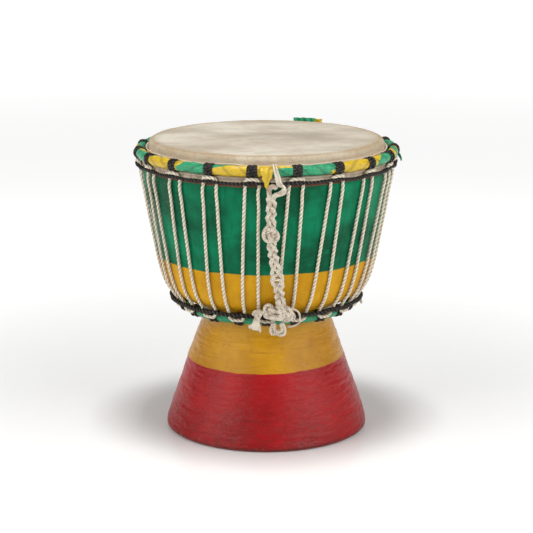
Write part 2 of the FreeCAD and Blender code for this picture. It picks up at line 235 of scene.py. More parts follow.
def tube(b, p, rad, closed=False, segs=12, strands=2, pitch=4.2, depth=0.34, flat=1.0,
         wide=1.0, normal=None, rnd=0.0, phase=0.0, ends=(1, 1)):
    """A cord laid along p; strands is how many yarns its twist shows."""
    p = np.asarray(p, float)
    n = len(p)
    t = tangents(p, closed)
    if normal is None:
        nn = carried(p, t, closed)
    else:
        nn = unit(normal - t * np.einsum("ij,ij->i", normal, t)[:, None])
    bb = np.cross(t, nn)
    d = np.linalg.norm(np.diff(p, axis=0), axis=1)
    s = np.r_[0, np.cumsum(d)]
    total = s[-1] + (np.linalg.norm(p[0] - p[-1]) if closed else 0)
    if closed:
        pitch = total / max(1, round(total / pitch))
    rad = np.asarray(rad, float)
    if rad.ndim and len(rad) != n:
        rad = np.interp(np.linspace(0, 1, n), np.linspace(0, 1, len(rad)), rad)
    rad = np.broadcast_to(rad, (n,)).copy()
    if not closed:
        for on, dist in ((ends[0], s), (ends[1], s[-1] - s)):
            if on:
                k = np.clip(dist / np.maximum(rad, 1e-6), 0.0, 1.0)
                rad = rad * np.sqrt(np.clip(1 - (1 - k) ** 2, 0.03, 1.0))
    phi = np.arange(segs) * TAU / segs
    psi = phi[None] - (TAU * s / pitch + phase)[:, None]
    if strands == 2:
        c = np.abs(np.cos(psi))
    elif strands >= 3:
        c = np.abs(np.cos(strands * 0.5 * psi))
    else:
        c = np.ones_like(psi)
    shape = 1 - depth * (1 - c) ** 1.25 if strands > 1 else c
    flat = np.broadcast_to(np.asarray(flat, float), (n,))
    wide = np.broadcast_to(np.asarray(wide, float), (n,))
    r = rad[:, None] * shape
    v = p[:, None] + nn[:, None] * (r * np.cos(phi) * flat[:, None])[..., None] \
        + bb[:, None] * (r * np.sin(phi) * wide[:, None])[..., None]
    fib = np.stack([np.cos(psi), np.sin(psi), np.broadcast_to((s * 0.35)[:, None], psi.shape)], -1)
    i = np.arange(n if closed else n - 1)[:, None]
    k = np.arange(segs)[None]
    j, k1 = (i + 1) % n, (k + 1) % segs
    q = np.stack([i * segs + k, j * segs + k, j * segs + k1, i * segs + k1], -1).reshape(-1, 4)
    v, fib, c = v.reshape(-1, 3), fib.reshape(-1, 3), c.reshape(-1)
    tri = []
    if not closed:
        m = n * segs
        v = np.vstack([v, p[0], p[-1]])
        fib = np.vstack([fib, [0, 0, 0], [0, 0, s[-1] * 0.35]])
        c = np.r_[c, 1, 1]
        kk = np.arange(segs)
        a0 = np.stack([np.full(segs, m), kk, (kk + 1) % segs], -1)
        e0 = (n - 1) * segs
        a1 = np.stack([np.full(segs, m + 1), e0 + (kk + 1) % segs, e0 + kk], -1)
        tri = np.vstack([a0, a1])
    b.add(v, q, tri, fib=fib, crest=c, rnd=rnd)


def lathe(b, rr, zz, wrap, **attrs):
    """Rings of points (m, n) of radius and height; wrap closes the profile."""
    m, n = rr.shape
    th = np.arange(n) * TAU / n
    v = np.stack([rr * np.sin(th), -rr * np.cos(th), zz], -1).reshape(-1, 3)
    i = np.arange(m if wrap else m - 1)[:, None]
    k = np.arange(n)[None]
    j, k1 = (i + 1) % m, (k + 1) % n
    q = np.stack([i * n + k, i * n + k1, j * n + k1, j * n + k], -1).reshape(-1, 4)
    tri = []
    attrs = {a: np.broadcast_to(x, (m, n)).reshape(-1) for a, x in attrs.items()}
    if not wrap:
        e = m * n
        v = np.vstack([v, [0, 0, zz[0].mean()], [0, 0, zz[-1].mean()]])
        kk = np.arange(n)
        tri = np.vstack([np.stack([np.full(n, e), (kk + 1) % n, kk], -1),
                         np.stack([np.full(n, e + 1), (m - 1) * n + kk, (m - 1) * n + (kk + 1) % n], -1)])
        attrs = {a: np.r_[x, x[0], x[-1]] for a, x in attrs.items()}
    b.add(v, q, tri, **attrs)


def slab(b, grid, thick, **attrs):
    """A thin closed sheet of cloth over a grid of points (m, n, 3)."""
    m, n = grid.shape[:2]
    du, dv = np.gradient(grid, axis=0), np.gradient(grid, axis=1)
    nn = unit(np.cross(du, dv))
    top, low = grid + nn * thick / 2, grid - nn * thick / 2
    v = np.concatenate([top.reshape(-1, 3), low.reshape(-1, 3)])
    i, k = np.arange(m - 1)[:, None], np.arange(n - 1)[None]
    q = np.stack([i * n + k, (i + 1) * n + k, (i + 1) * n + k + 1, i * n + k + 1], -1).reshape(-1, 4)
    q = [q, q[:, ::-1] + m * n]
    rim = list(range(n)) + [r * n + n - 1 for r in range(1, m)] + \
        [(m - 1) * n + c for c in range(n - 2, -1, -1)] + [r * n for r in range(m - 2, 0, -1)]
    rim = np.array(rim)
    nx = np.roll(rim, -1)
    q.append(np.stack([rim, nx, nx + m * n, rim + m * n], -1))
    attrs = {a: np.tile(np.asarray(x, float).reshape(-1), 2) if np.ndim(x) else x for a, x in attrs.items()}
    b.add(v, np.vstack(q), (), **attrs)


# ---------------------------------------------------------------- materials
class Mat:
    def __init__(s, name, **const):
        s.m = bpy.data.materials.new(name)
        s.m.use_nodes = True
        s.nt = s.m.node_tree
        s.b = s.nt.nodes["Principled BSDF"]
        for k, v in const.items():
            s.b.inputs[k.replace("_", " ")].default_value = v

    def put(s, socket, x):
        if isinstance(x, bpy.types.NodeSocket):
            s.nt.links.new(x, socket)
        elif x is not None:
            if hasattr(socket.default_value, "__len__") and not hasattr(x, "__len__"):
                x = (x,) * len(socket.default_value)
            if socket.type == "RGBA" and len(x) == 3:
                x = (*x, 1.0)
            socket.default_value = x

    def new(s, kind):
        return s.nt.nodes.new(kind)

    def math(s, op, a, b=None, clamp=False):
        n = s.new("ShaderNodeMath")
        n.operation = op
        n.use_clamp = clamp
        s.put(n.inputs[0], a)
        s.put(n.inputs[1], b)
        return n.outputs[0]

    def mul(s, a, b):
        return s.math("MULTIPLY", a, b)

    def add(s, a, b):
        return s.math("ADD", a, b)

    def mix(s, f, a, b, mode="MIX"):
        n = s.new("ShaderNodeMix")
        n.data_type = "RGBA"
        n.blend_type = mode
        s.put(n.inputs[0], f)
        s.put(n.inputs[6], a)
        s.put(n.inputs[7], b)
        return n.outputs[2]

    def fade(s, x, a, b, lo=0.0, hi=1.0):
        n = s.new("ShaderNodeMapRange")
        n.interpolation_type = "SMOOTHSTEP"
        for i, v in enumerate((x, a, b, lo, hi)):
            s.put(n.inputs[i], v)
        return n.outputs[0]

    def attr(s, name, vector=False):
        n = s.new("ShaderNodeAttribute")
        n.attribute_name = name
        return n.outputs["Vector" if vector else "Fac"]

    def place(s, scale=(1, 1, 1)):
        """Where the surface is, in the object's own metres, stretched by scale."""
        c = s.new("ShaderNodeTexCoord").outputs["Object"]
        return s.stretch(c, scale)

    def stretch(s, v, scale):
        n = s.new("ShaderNodeVectorMath")
        n.operation = "MULTIPLY"
        s.put(n.inputs[0], v)
        n.inputs[1].default_value = scale
        return n.outputs[0]

    def xyz(s, v):
        n = s.new("ShaderNodeSeparateXYZ")
        s.put(n.inputs[0], v)
        return n.outputs

    def noise(s, v, scale, detail=2.0, rough=0.55):
        n = s.new("ShaderNodeTexNoise")
        s.put(n.inputs["Vector"], v)
        n.inputs["Scale"].default_value = scale
        n.inputs["Detail"].default_value = detail
        n.inputs["Roughness"].default_value = rough
        return n.outputs[0]

    def bump(s, h, strength, dist, normal=None):
        n = s.new("ShaderNodeBump")
        n.inputs["Strength"].default_value = strength
        n.inputs["Distance"].default_value = dist
        s.put(n.inputs["Height"], h)
        s.put(n.inputs["Normal"], normal)
        return n.outputs[0]

    def out(s, color=None, rough=None, normal=None):
        s.put(s.b.inputs["Base Color"], color)
        s.put(s.b.inputs["Roughness"], rough)
        s.put(s.b.inputs["Normal"], normal)
        return s.m


def painted_wood():
    m = Mat("painted_wood")
    dimple = m.noise(m.place((1, 1, 1.5)), 230, 3, 0.6)
    x, y, z = m.xyz(m.place())
    fine = m.noise(m.place(), 900, 3)
    brush = m.noise(m.place((1, 1, 9)), 70, 4, 0.6)
    grain = m.noise(m.place((260, 260, 14)), 1.0, 4, 0.65)
    cuts = m.noise(m.place((28, 28, 620)), 1.0, 3, 0.6)
    broad = m.noise(m.place(), 22, 3, 0.6)
    wob = m.mul(m.add(m.noise(m.place(), 55, 3), -0.5), 0.0022)
    zz = m.add(z, wob)
    is_green = m.fade(m.math("SUBTRACT", zz, m.add(m.mul(x, 0.008), 0.1521)), -0.0004, 0.0004)
    is_above = m.fade(m.math("SUBTRACT", zz, m.add(m.mul(x, 0.0147), 0.0620)), -0.0004, 0.0004)
    strip = m.fade(zz, 0.2260, 0.2268)
    foot = m.fade(z, 0.088, 0.104, 1.0, 0.0)
    green = m.mix(m.fade(broad, 0.3, 0.7), (0.0006, 0.058, 0.023), (0.0010, 0.200, 0.088))
    green = m.mix(m.mul(m.fade(grain, 0.5, 0.78), 0.42), green, (0.001, 0.034, 0.015))
    green = m.mix(m.mul(m.fade(brush, 0.56, 0.8), 0.35), green, (0.010, 0.30, 0.14))
    yel_bowl = m.mix(m.fade(broad, 0.3, 0.72), (0.47, 0.225, 0.006), (0.66, 0.350, 0.010))
    yel_foot = m.mix(m.fade(broad, 0.3, 0.72), (0.43, 0.185, 0.003), (0.60, 0.290, 0.004))
    yellow = m.mix(foot, yel_bowl, yel_foot)
    yellow = m.mix(m.mul(m.fade(grain, 0.5, 0.8), 0.30), yellow, (0.27, 0.10, 0.010))
    yellow = m.mix(m.mul(m.fade(cuts, 0.55, 0.8), m.mul(foot, 0.55)), yellow, (0.24, 0.075, 0.010))
    red = m.mix(m.fade(broad, 0.3, 0.72), (0.30, 0.0004, 0.0016), (0.42, 0.0012, 0.0036))
    red = m.mix(m.mul(m.fade(cuts, 0.53, 0.8), 0.55), red, (0.16, 0.003, 0.005))
    paint = m.mix(is_above, red, m.mix(is_green, yellow, green))
    # raw wood shows where the paint has rubbed through
    raw = m.mix(m.fade(grain, 0.35, 0.7), (0.25, 0.115, 0.050), (0.44, 0.235, 0.115))
    rub = m.mul(m.fade(m.noise(m.place(), 240, 4, 0.7), 0.60, 0.68), m.fade(z, 0.0005, 0.0075, 1.0, 0.0))
    chip = m.mul(m.fade(m.noise(m.place((1, 1, 2.4)), 150, 4, 0.75), 0.73, 0.76), 0.8)
    paint = m.mix(m.math("MAXIMUM", rub, chip), paint, raw)
    # painted shade: the paint darkens over the lowest few millimetres next to the floor, and in the dimple hollows low
    # on the foot
    painted_foot_shade = m.add(m.mul(m.fade(z, 0.0008, 0.0050, 0.55, 0.0), 1.0), m.mul(m.fade(z, 0.010, 0.060, 0.30, 0.0), m.fade(dimple, 0.42, 0.62, 1.0, 0.0)))
    paint = m.mix(painted_foot_shade, paint, (0.085, 0.016, 0.012))
    # painted shade: a dark brown band round the throat, under and behind the bottom ring
    painted_throat_shade = m.mul(m.fade(z, 0.102, 0.120, 1.0, 0.0), m.fade(z, 0.090, 0.104))
    paint = m.mix(m.mul(painted_throat_shade, 0.45), paint, (0.11, 0.045, 0.012))
    paint = m.mix(strip, paint, (0.20, 0.085, 0.052))
    inside = m.attr("inside")
    m.put(m.b.inputs["Specular IOR Level"], m.fade(z, 0.100, 0.118, 0.30, 0.08))
    col = m.mix(inside, paint, raw)
    rough = m.add(m.fade(broad, 0.3, 0.75, 0.21, 0.31), m.mul(fine, 0.10))
    rough = m.add(rough, m.mul(inside, 0.35))
    h = m.add(m.mul(fine, 0.30), m.mul(grain, 0.45))
    n = m.bump(h, 0.42, 0.0005)
    n = m.bump(m.mul(cuts, foot), 0.42, 0.0009, n)
    n = m.bump(dimple, 0.45, 0.0010, n)
    n = m.bump(m.noise(m.place((0.55, 0.55, 1.3)), 640, 3, 0.7), 0.60, 0.0007, n)
    n = m.bump(brush, 0.20, 0.0006, n)
    return m.out(col, rough, n)


def goatskin():
    m = Mat("goatskin", Specular_IOR_Level=0.35, Subsurface_Weight=0.06)
    u = m.attr("along")
    x, y, z = m.xyz(m.place())
    broad = m.noise(m.place((1, 1.6, 1)), 17, 4, 0.6)
    mid = m.noise(m.place(), 70, 4, 0.65)
    fine = m.noise(m.place(), 900, 3, 0.6)
    speck = m.noise(m.place(), 700, 2, 0.5)
    base = m.mix(m.fade(broad, 0.32, 0.70), (0.40, 0.330, 0.250), (0.60, 0.530, 0.435))
    base = m.mix(m.mul(m.fade(mid, 0.48, 0.74), 0.48), base, (0.40, 0.305, 0.215))
    # a greyer patch where hands have played, right of the middle
    dx, dy = m.mul(m.add(x, -0.024), 17.0), m.mul(m.add(y, -0.006), 36.0)
    dist = m.math("SQRT", m.add(m.mul(dx, dx), m.mul(dy, dy)))
    smudge = m.mul(m.fade(m.add(dist, m.mul(mid, 0.9)), 0.55, 1.55, 1.0, 0.0), 0.42)
    base = m.mix(smudge, base, (0.27, 0.225, 0.185))
    # short hair left on from the rounded edge outwards
    band = m.fade(u, 88.0, 96.5)
    line = m.mul(m.mul(m.fade(u, 93.6, 95.4), m.fade(u, 96.0, 98.2, 1.0, 0.0)), m.fade(mid, 0.3, 0.6, 0.2, 0.75))
    base = m.mix(line, base, (0.27, 0.165, 0.095))
    hair = m.mul(m.fade(speck, 0.50, 0.60), m.mul(band, m.fade(mid, 0.25, 0.6, 0.5, 1.0)))
    base = m.mix(m.mul(band, m.fade(mid, 0.3, 0.7, 0.40, 0.85)), base, (0.40, 0.290, 0.170))
    base = m.mix(m.mul(hair, 0.26), base, (0.21, 0.135, 0.080))
    # painted light: the roll of skin under the crown ring is lightened, lifting the shade it sits in
    low = m.fade(u, 99.0, 104.0)
    base = m.mix(m.mul(low, 0.60), base, (0.74, 0.610, 0.470))
    # painted shade: the pleat valleys of that roll are darkened
    crest = m.attr("pleat")
    base = m.mix(m.mul(m.fade(crest, 0.0, 1.0, 0.40, 0.0), low), base, (0.15, 0.085, 0.045))
    rough = m.fade(mid, 0.3, 0.7, 0.50, 0.64)
    n = m.bump(m.add(m.mul(fine, 0.4), m.mul(mid, 1.0)), 0.30, 0.0006)
    n = m.bump(m.mul(speck, band), 0.5, 0.0005, n)
    return m.out(base, rough, n)


def cord(name, dark, light, dirt_and_groove_shade, dirt_amount, rough=0.72, sheen=0.25, shine=0.3, groove_shade=0.80, top=None):
    m = Mat(name, Specular_IOR_Level=shine, Sheen_Weight=sheen, Sheen_Roughness=0.45)
    fib = m.attr("fib", True)
    crest = m.attr("crest")
    rnd = m.attr("rnd")
    strand = m.noise(m.stretch(fib, (5.5, 5.5, 1.3)), 1.6, 3, 0.6)
    blot = m.noise(m.place(), 170, 3, 0.6)
    fluff = m.noise(m.place(), 1500, 2, 0.6)
    c = m.mix(m.fade(strand, 0.28, 0.72), dark, light)
    # painted shade mixed with dirt: the grooves between the strands are darkened towards the dirt colour
    c = m.mix(m.fade(crest, 0.05, 0.68, groove_shade, 0.0), c, dirt_and_groove_shade)
    # painted highlight: flecks on the strand crests are lightened to the top colour
    if top:
        c = m.mix(m.mul(m.fade(crest, 0.66, 0.98), m.fade(m.add(strand, m.mul(m.add(fluff, -0.5), 0.35)), 0.46, 0.66)), c, top)
    c = m.mix(m.mul(m.fade(m.add(blot, m.mul(rnd, 0.12)), 0.50, 0.78), dirt_amount), c, dirt_and_groove_shade)
    n = m.bump(m.add(m.mul(strand, 1.0), m.mul(fluff, 0.5)), 0.55, 0.0004)
    return m.out(c, m.fade(fluff, 0.3, 0.7, rough - 0.06, rough + 0.08), n)


def cloth(name, green_d, green_l, yellow_d, yellow_l):
    m = Mat(name, Specular_IOR_Level=0.5, Sheen_Weight=0.08, Sheen_Roughness=0.35)
    mixd = m.attr("mixd")
    silk = m.noise(m.place((1.0, 1.0, 3.5)), 420, 3, 0.6)
    weave = m.noise(m.place(), 1900, 2, 0.5)
    blot = m.noise(m.place(), 120, 3, 0.6)
    edge = m.fade(m.add(mixd, m.mul(m.add(silk, -0.5), 0.10)), -0.015, 0.015)
    g = m.mix(m.fade(silk, 0.3, 0.7), green_d, green_l)
    y = m.mix(m.fade(silk, 0.3, 0.7), yellow_d, yellow_l)
    c = m.mix(edge, g, y)
    c = m.mix(m.mul(m.fade(blot, 0.55, 0.8), 0.35), c, m.mix(edge, (0.004, 0.13, 0.06), (0.32, 0.22, 0.02)))
    # painted shade: the cloth darkens in the valleys between its laps and in its creases
    fold = m.attr("fold")
    c = m.mix(m.fade(fold, 0.0, 0.55, 0.75, 0.0), c, m.mix(edge, (0.003, 0.07, 0.035), (0.20, 0.13, 0.01)))
    n = m.bump(m.add(m.mul(silk, 0.9), m.mul(weave, 0.5)), 0.50, 0.0005)
    return m.out(c, m.fade(silk, 0.3, 0.7, 0.28, 0.44), n)


def steel():
    m = Mat("ring_steel", Metallic=1.0, Specular_IOR_Level=0.5)
    a = m.noise(m.place(), 160, 4, 0.65)
    f = m.noise(m.place((1, 1, 6)), 900, 2)
    c = m.mix(m.fade(a, 0.45, 0.62), (0.36, 0.35, 0.34), (0.20, 0.085, 0.040))
    return m.out(c, m.fade(a, 0.4, 0.65, 0.34, 0.80), m.bump(m.add(a, m.mul(f, 0.3)), 0.4, 0.0004))


WOOD, SKIN, STEEL = painted_wood(), goatskin(), steel()
# each cord's third colour is both its dirt and the painted shade in its grooves
WHITE = cord("white_cotton", (0.58, 0.51, 0.385), (0.88, 0.82, 0.68), (0.26, 0.170, 0.095), 0.36, 0.72, 0.15, 0.3, 0.90)
WHITE_SOFT = cord("white_braid_cotton", (0.62, 0.54, 0.42), (0.88, 0.82, 0.70), (0.27, 0.155, 0.085), 0.62,
                  0.80, 0.20, 0.2, 0.95)
# the last colour of the black cord is a painted highlight on its crests
BLACK = cord("black_cord", (0.0020, 0.0016, 0.0013), (0.0085, 0.0068, 0.0056), (0.0012, 0.0010, 0.0008), 0.4,
             0.42, 0.0, 0.22, 0.9, (0.170, 0.142, 0.122))
CLOTH = cloth("rim_cloth", (0.003, 0.165, 0.068), (0.016, 0.370, 0.160),
              (0.46, 0.290, 0.003), (0.64, 0.440, 0.008))
LOW_CLOTH = cloth("foot_ring_cloth", (0.001, 0.150, 0.060), (0.005, 0.300, 0.125),
                  (0.46, 0.290, 0.003), (0.64, 0.440, 0.008))

# ---------------------------------------------------------------- the free cord
route = [
    (0.0042, -0.1093, 0.2220), (0.0036, -0.1076, 0.2095), (0.0035, -0.1066, 0.1974),
    (0.0036, -0.1056, 0.1826), (0.0062, -0.1018, 0.1660), (0.0092, -0.0990, 0.1470),
    (0.0110, -0.0952, 0.1336), (0.0118, -0.0912, 0.1244),
]


def line_of(points):
    """The points of a smooth NURBS through the route, in metres."""
    c = bpy.data.curves.new("route", "CURVE")
    c.dimensions = "3D"
    c.resolution_u = 24
    sp = c.splines.new("NURBS")
    sp.points.add(len(points) - 1)
    for p, q in zip(sp.points, points):
        p.co = (*q, 1.0)
    sp.order_u = 3
    sp.use_endpoint_u = True
    o = bpy.data.objects.new("route", c)
    scene.collection.objects.link(o)
    bpy.context.view_layer.update()
    me = bpy.data.meshes.new_from_object(o)
    out = np.array([v.co for v in me.vertices], float)
    bpy.data.objects.remove(o)
    bpy.data.meshes.remove(me)
    bpy.data.curves.remove(c)
    return out


braid_line = line_of(route)
mid = even(braid_line / MM, 0.45)
s_mid = np.r_[0, np.cumsum(np.linalg.norm(np.diff(mid, axis=0), axis=1))]
t_mid = tangents(mid, False)
out_mid = np.tile(np.array([0.0, -1.0, 0.0]), (len(mid), 1))
out_mid = unit(out_mid - t_mid * np.einsum("ij,ij->i", out_mid, t_mid)[:, None])
side_mid = unit(np.cross(t_mid, out_mid))
b = Batch()
open_up = np.exp(-((mid[:, 2] - 150.5) / 6.2) ** 2)      # where the plait parts
slack = vnoise(s_mid / 9.0, s_mid * 0 + 2.2, 31, 40)
for k in range(3):
    w = TAU * s_mid / 23.0 + TAU * k / 3 + 0.55 * slack
    sn = np.sin(w)
    spread_out = np.sign(sn) * np.abs(sn) ** 0.35
    a = (2.55 + 0.30 * slack) * sn * (1 - open_up) + 4.1 * spread_out * open_up
    dz = 1.25 * np.sin(2 * w) * (1 - 0.5 * open_up)
    strand = mid + side_mid * a[:, None] + out_mid * dz[:, None]
    for g in range(2):        # each strand of the plait is a doubled yarn
        wob = TAU * s_mid / 8.5 + g * math.pi + k
        o2 = side_mid * (0.62 * np.cos(wob))[:, None] + out_mid * (0.62 * np.sin(wob))[:, None]
        tube(b, strand + o2, 1.34, segs=16, strands=3, pitch=5.4, depth=0.46, rnd=0.2 * k + 0.1 * g, phase=k)
braid = make("braid", b, WHITE_SOFT, "drum", ("braid_upper", "braid_lower"))


def trefoil(centre, rx, ry, rz, tilt=0.0, n=150):
    t = np.arange(n) * TAU / n
    x = (np.sin(t) + 2 * np.sin(2 * t)) / 2.7
    z = (np.cos(t) - 2 * np.cos(2 * t)) / 2.7
    y = -np.sin(3 * t)
    c, s = math.cos(tilt), math.sin(tilt)
    return np.stack([(x * c - z * s) * rx, y * ry, (x * s + z * c) * rz], -1) + np.asarray(centre, float)


def doubled(b, p, r, gap, closed=False, normal=None, rnd=0.0, pitch=4.8, segs=12, strands=3):
    """Two yarns laid side by side that roll slowly round each other."""
    p = np.asarray(p, float)
    t = tangents(p, closed)
    n = carried(p, t, closed) if normal is None else unit(normal - t * np.einsum("ij,ij->i", normal, t)[:, None])
    bb = np.cross(t, n)
    s = np.r_[0, np.cumsum(np.linalg.norm(np.diff(p, axis=0), axis=1))]
    turns = 1 if not closed else max(1, round(s[-1] / 26.0))
    a = s / s[-1] * TAU * turns if closed else s * 0.10
    for g in range(2):
        o = n * np.cos(a + g * math.pi)[:, None] * gap + bb * np.sin(a + g * math.pi)[:, None] * gap
        tube(b, p + o, r, closed=closed, segs=segs, strands=strands, pitch=pitch, depth=0.44, rnd=rnd + 0.15 * g, phase=g)


b = Batch()
kc = (3.5, -106.5, 189.6)
doubled(b, trefoil(kc, 3.6, 2.0, 4.0, 0.25), 1.55, 1.05, True, rnd=0.3)
tube(b, spline([(1.0, -108.6, 196.0), (-1.7, -109.2, 192.2), (-2.2, -108.8, 187.6), (0.6, -109.2, 184.2),
                (4.6, -109.8, 184.6)], 0.45), 1.6, segs=12, strands=3, pitch=4.6, depth=0.46, rnd=0.1)
tube(b, spline([(0.4, -109.4, 193.6), (4.2, -110.6, 193.4), (8.2, -109.4, 190.8), (9.0, -108.2, 186.8),
                (6.2, -108.4, 183.0)], 0.45), 1.6, segs=12, strands=3, pitch=4.6, depth=0.46, rnd=0.5)
braid_knot = make("braid_knot_cord", b, WHITE_SOFT, "drum", ("braid_knot",))

# the folded end over the crown ring, and the first loop of the braid
b = Batch()
for dx, dy, rn in ((-0.95, 0.0, 0.1), (1.05, 0.3, 0.5)):
    tube(b, spline([(6.0 + dx, -107.2, 245.4), (6.7 + dx, -111.6, 243.6), (7.6 + dx, -113.6 + dy, 239.6),
                    (9.2 + dx, -114.4 + dy, 234.0), (10.9 + dx, -114.2 + dy, 229.8), (13.2 + dx * .4, -113.8, 227.9 - dx),
                    (13.7 - dx * .5, -113.2, 225.0 + dx), (10.2, -112.2 + dy, 222.6 + dx * .7), (6.4, -111.0, 221.0 + dx * .7),
                    (4.0, -109.8, 218.6)], 0.4), np.interp(np.arange(400) / 399.0, [0, 0.16, 0.34, 1], [0.5, 0.75, 1.4, 1.5]), segs=12, strands=3, pitch=4.6, depth=0.46, rnd=rn)
for off in (0.0, 1.5):
    tube(b, spline([(8.6 - off, -111.2, 226.6 - off * .4), (5.8, -112.4, 229.2 - off), (2.4 + off * .8, -111.8, 228.0 - off * .6),
                    (1.3 + off * .9, -111.0, 223.6), (2.6 + off * .7, -110.2, 218.8), (5.4, -109.4, 214.8)], 0.4),
         1.4, segs=12, strands=3, pitch=4.6, depth=0.46, rnd=0.9)
top_hitch = make("top_hitch_cord", b, WHITE_SOFT, "drum", ("top_hitch",))

# the knot over the bottom ring
b = Batch()
doubled(b, trefoil((8.6, -88.8, 119.4), 5.0, 2.6, 3.9, 0.5), 1.6, 1.1, True, rnd=0.2)
for pts, r, rn in (
    ([(2.0, -88.0, 117.4), (-1.0, -89.0, 120.6), (-1.2, -89.6, 124.6), (1.4, -90.2, 127.0), (4.6, -90.6, 125.4),
      (5.8, -90.8, 120.8), (4.6, -90.0, 116.8)], 1.6, 0.4),
    ([(-2.2, -87.6, 118.6), (0.6, -90.4, 117.0), (4.6, -92.4, 117.2), (9.4, -93.0, 117.0), (14.0, -92.0, 117.8),
      (17.6, -89.4, 119.6)], 1.7, 0.1),
    ([(0.8, -88.6, 121.8), (4.2, -91.6, 119.6), (9.0, -93.4, 118.4), (13.2, -92.8, 120.6), (16.4, -90.0, 124.2)], 1.65, 0.6),
    ([(12.0, -89.4, 126.4), (16.8, -91.2, 124.8), (20.2, -91.0, 120.8), (20.0, -90.0, 116.6), (17.4, -89.0, 114.2),
      (14.0, -87.6, 113.4)], 1.9, 0.3),
    ([(11.4, -89.8, 123.4), (15.4, -92.4, 121.8), (17.6, -92.2, 118.6), (15.8, -90.4, 115.6), (12.0, -88.0, 113.8)], 1.75, 0.8),
    ([(8.0, -91.2, 131.0), (9.6, -92.8, 126.4), (11.0, -93.6, 121.4), (11.0, -92.2, 117.8), (9.6, -88.4, 114.2)], 1.65, 0.5),
    ([(13.4, -90.8, 131.0), (14.6, -92.0, 126.0), (13.8, -93.2, 121.0), (13.2, -92.0, 117.8), (12.2, -88.2, 114.2)], 1.65, 0.7),
    ([(-2.8, -88.2, 120.2), (0.6, -90.0, 119.2), (3.4, -89.2, 116.4), (6.4, -87.6, 113.6)], 1.75, 0.2),
    ([(-6.4, -88.7, 119.8), (-3.6, -89.3, 120.4), (0.2, -89.9, 121.6), (4.0, -90.2, 122.4)], 1.75, 0.9),
    ([(1.0, -91.4, 124.4), (5.0, -93.0, 123.6), (9.6, -94.2, 122.2), (14.4, -93.2, 124.0)], 1.6, 0.35),
    ([(16.0, -91.6, 126.0), (19.0, -91.4, 123.0), (18.2, -91.8, 119.2), (15.0, -92.0, 118.2)], 1.5, 0.55),
):
    tube(b, spline(pts, 0.45), r, segs=12, strands=3, pitch=5.0, depth=0.46, rnd=rn)
tie = make("tie_knot_cord", b, WHITE_SOFT, "drum", ("tie_knot",))

b = Batch()
tube(b, spline([(15.6, -89.6, 123.4), (19.4, -90.2, 123.8), (23.6, -89.4, 122.8), (26.4, -87.8, 119.6), (27.2, -86.2, 115.0),
                (26.9, -85.6, 111.4), (24.2, -85.2, 109.2), (20.4, -85.0, 107.8), (16.8, -84.6, 107.5)], 0.35),
     0.82, segs=10, strands=2, pitch=2.6, depth=0.3, rnd=0.1)
tube(b, spline([(16.2, -90.0, 122.6), (19.6, -90.4, 121.6), (22.4, -89.8, 119.4), (23.0, -89.0, 116.6), (21.8, -88.4, 114.2)], 0.35),
     0.75, segs=10, strands=2, pitch=2.6, depth=0.3, rnd=0.6)
strand_obj = make("end_strand_cord", b, WHITE_SOFT, "drum", ("end_strand",))

b = Batch()
tube(b, spline([(5.8, -88.4, 112.2), (4.3, -88.8, 108.4), (3.7, -88.9, 104.8), (4.9, -88.8, 102.8), (8.0, -88.6, 102.9),
                (11.3, -88.6, 101.6), (14.0, -88.7, 102.4), (14.7, -88.8, 106.2), (13.7, -88.7, 109.8), (12.6, -88.3, 112.2)], 0.4),
     1.6, segs=12, strands=3, pitch=4.8, depth=0.46, rnd=0.2)
tube(b, spline([(7.0, -89.4, 112.0), (6.3, -89.8, 108.4), (6.8, -90.0, 105.9), (9.2, -90.0, 104.8), (11.8, -90.0, 105.3),
                (12.4, -89.8, 108.3), (11.5, -89.3, 111.8)], 0.4), 1.55, segs=12, strands=3, pitch=4.8, depth=0.46, rnd=0.7)
loop_obj = make("end_loop_cord", b, WHITE_SOFT, "hanging_loop", ("end_loop",))

b = Batch()
rng = np.random.RandomState(5)
doubled(b, trefoil((-7.2, -88.8, 119.5), 2.9, 1.6, 2.3, 0.3, 90), 1.3, 0.8, True, rnd=0.2)
for k in range(26):
    f = (k % 13) / 12.0
    layer = 0.9 if k < 13 else -0.9
    x1 = -14.6 + 9.9 * f + rng.uniform(-0.4, 0.4)
    z1 = 108.6 - 4.4 * f ** 0.7 + rng.uniform(-0.7, 0.7)
    a = rng.uniform(0, TAU)
    tube(b, spline([(-7.4 + 1.6 * math.cos(a), -88.5 + 1.2 * math.sin(a), 119.4),
                    (-7.8 + 3.0 * (f - 0.5), -88.5 + 0.8 * layer, 115.6),
                    (-8.2 + 3.6 * (f - 0.5), -88.6 + 0.9 * layer, 113.4),
                    (0.45 * -7.4 + 0.55 * x1, -88.8 + layer, 110.2),
                    (x1, -88.8 + layer * 1.3 + rng.uniform(-0.4, 0.4), z1)], 0.45),
         0.82, segs=8, strands=2, pitch=2.4, depth=0.25, rnd=rng.rand())
tassel_obj = make("end_tassel_cord", b, WHITE_SOFT, "hanging_tassel", ("end_tassel",))

# ---------------------------------------------------------------- shell
outer = spline(SHELL_OUT, 0.8)
shoulder = spline(SHELL_SHOULDER, 0.5)
inner = spline(SHELL_IN, 2.2)


def arc(c, r, a, b_, step=0.6):
    n = max(3, int(abs(b_ - a) * r / step))
    t = np.linspace(a, b_, n + 1)
    return np.stack([c[0] + r * np.cos(t), c[1] + r * np.sin(t)], -1)


